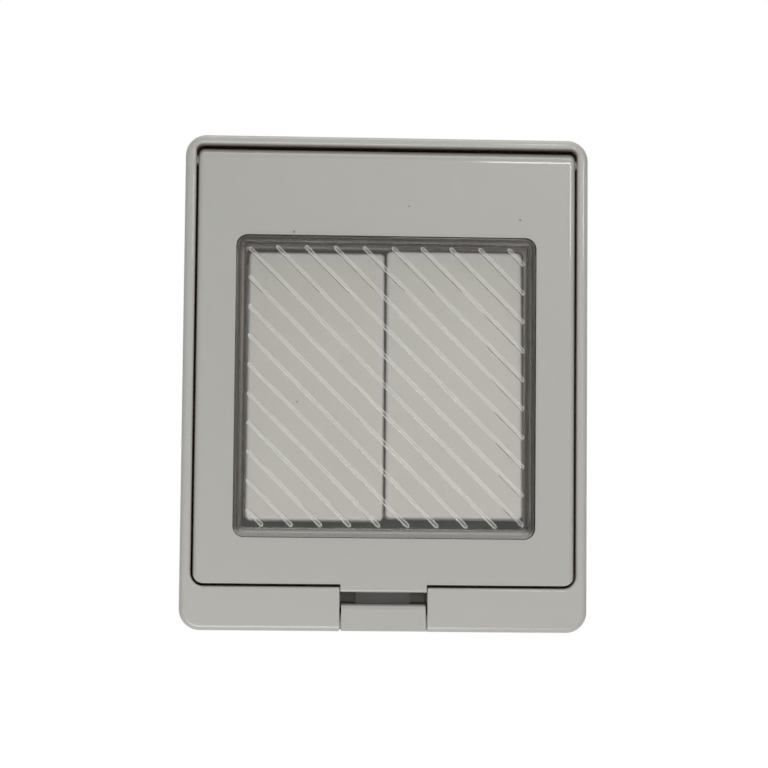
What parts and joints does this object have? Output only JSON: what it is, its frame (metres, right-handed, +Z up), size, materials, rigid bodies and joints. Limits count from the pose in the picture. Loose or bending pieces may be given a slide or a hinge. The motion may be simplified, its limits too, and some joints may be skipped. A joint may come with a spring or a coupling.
{
  "type": "outdoor weatherproof light switch",
  "caption": "Surface-mounted weatherproof light switch: boxy grey housing, hinged lid with a clear ribbed window over wide rockers, and a snap latch.",
  "frame": {"origin": "centre of the flat back face that goes against the wall", "axes": "+Z up, +X to the right seen from the front, +Y into the wall; the front of the switch looks along -Y"},
  "size_m": [0.082, 0.0547, 0.1],
  "materials": {
    "housing_grey": "moulded light grey plastic with a fine matt grain",
    "lid_grey": "moulded light grey plastic with a fine matt grain",
    "clamp_grey": "moulded grey plastic, plain",
    "window_clear": "clear flexible plastic with a soft gloss",
    "rocker_white": "off-white moulded plastic with a satin face",
    "switch_white": "white moulded plastic",
    "plunger_plastic": "natural low-friction plastic",
    "entry_rubber": "soft grey rubber",
    "seal_rubber": "black foam rubber",
    "screw_steel": "zinc-plated steel",
    "bridge_steel": "pressed zinc-plated sheet steel",
    "spring_steel": "bright spring wire",
    "contact_brass": "stamped and turned brass"
  },
  "bodies": {
    "housing": {"back_box": "housing_grey", "front_frame": "housing_grey", "upper_entry_plug": "entry_rubber", "lower_cable_grommet": "entry_rubber", "box_seal": "seal_rubber", "frame_screws": "screw_steel", "mounting_bridge": "bridge_steel", "bridge_screws": "screw_steel", "left_switch_housing": "switch_white", "right_switch_housing": "switch_white", "left_terminals": "contact_brass", "right_terminals": "contact_brass", "left_terminal_screws": "screw_steel", "right_terminal_screws": "screw_steel", "latch_spring": "spring_steel"},
    "lid": {"lid": "lid_grey", "window_membrane": "window_clear", "window_clamp_frame": "clamp_grey", "lid_seal": "seal_rubber"},
    "latch": {"latch": "lid_grey"},
    "left_rocker": {"left_rocker": "rocker_white", "left_plunger": "plunger_plastic", "left_plunger_spring": "spring_steel"},
    "right_rocker": {"right_rocker": "rocker_white", "right_plunger": "plunger_plastic", "right_plunger_spring": "spring_steel"},
    "left_contact_arm": {"left_contact_arm": "contact_brass"},
    "right_contact_arm": {"right_contact_arm": "contact_brass"}
  },
  "joints": [
    {"name": "lid_hinge", "type": "hinge", "parent": "housing", "child": "lid", "pos_m": [0, -0.0497, 0.0448], "axis": [-1, 0, 0], "range_deg": [0, 105]},
    {"name": "latch_pivot", "type": "hinge", "parent": "housing", "child": "latch", "pos_m": [0, -0.0424, -0.04625], "axis": [1, 0, 0], "range_deg": [0, 20], "stiffness_Nm_per_rad": 0.004, "springref_deg": -20.05, "deforming": ["latch_spring"]},
    {"name": "left_rocker_pivot", "type": "hinge", "parent": "housing", "child": "left_rocker", "pos_m": [-0.014, -0.0405, -0.00105], "axis": [1, 0, 0], "range_deg": [0, 9]},
    {"name": "left_contact_pivot", "type": "hinge", "parent": "housing", "child": "left_contact_arm", "pos_m": [-0.014, -0.0236, -0.00105], "axis": [1, 0, 0], "range_deg": [-12, 0]},
    {"name": "right_rocker_pivot", "type": "hinge", "parent": "housing", "child": "right_rocker", "pos_m": [0.014, -0.0405, -0.0005], "axis": [1, 0, 0], "range_deg": [0, 9]},
    {"name": "right_contact_pivot", "type": "hinge", "parent": "housing", "child": "right_contact_arm", "pos_m": [0.014, -0.0236, -0.0005], "axis": [1, 0, 0], "range_deg": [-12, 0]}
  ],
  "couplings": [
    {"joint": "left_contact_pivot", "follows": "left_rocker_pivot", "ratio": -1.3333},
    {"joint": "right_contact_pivot", "follows": "right_rocker_pivot", "ratio": -1.3333}
  ]
}
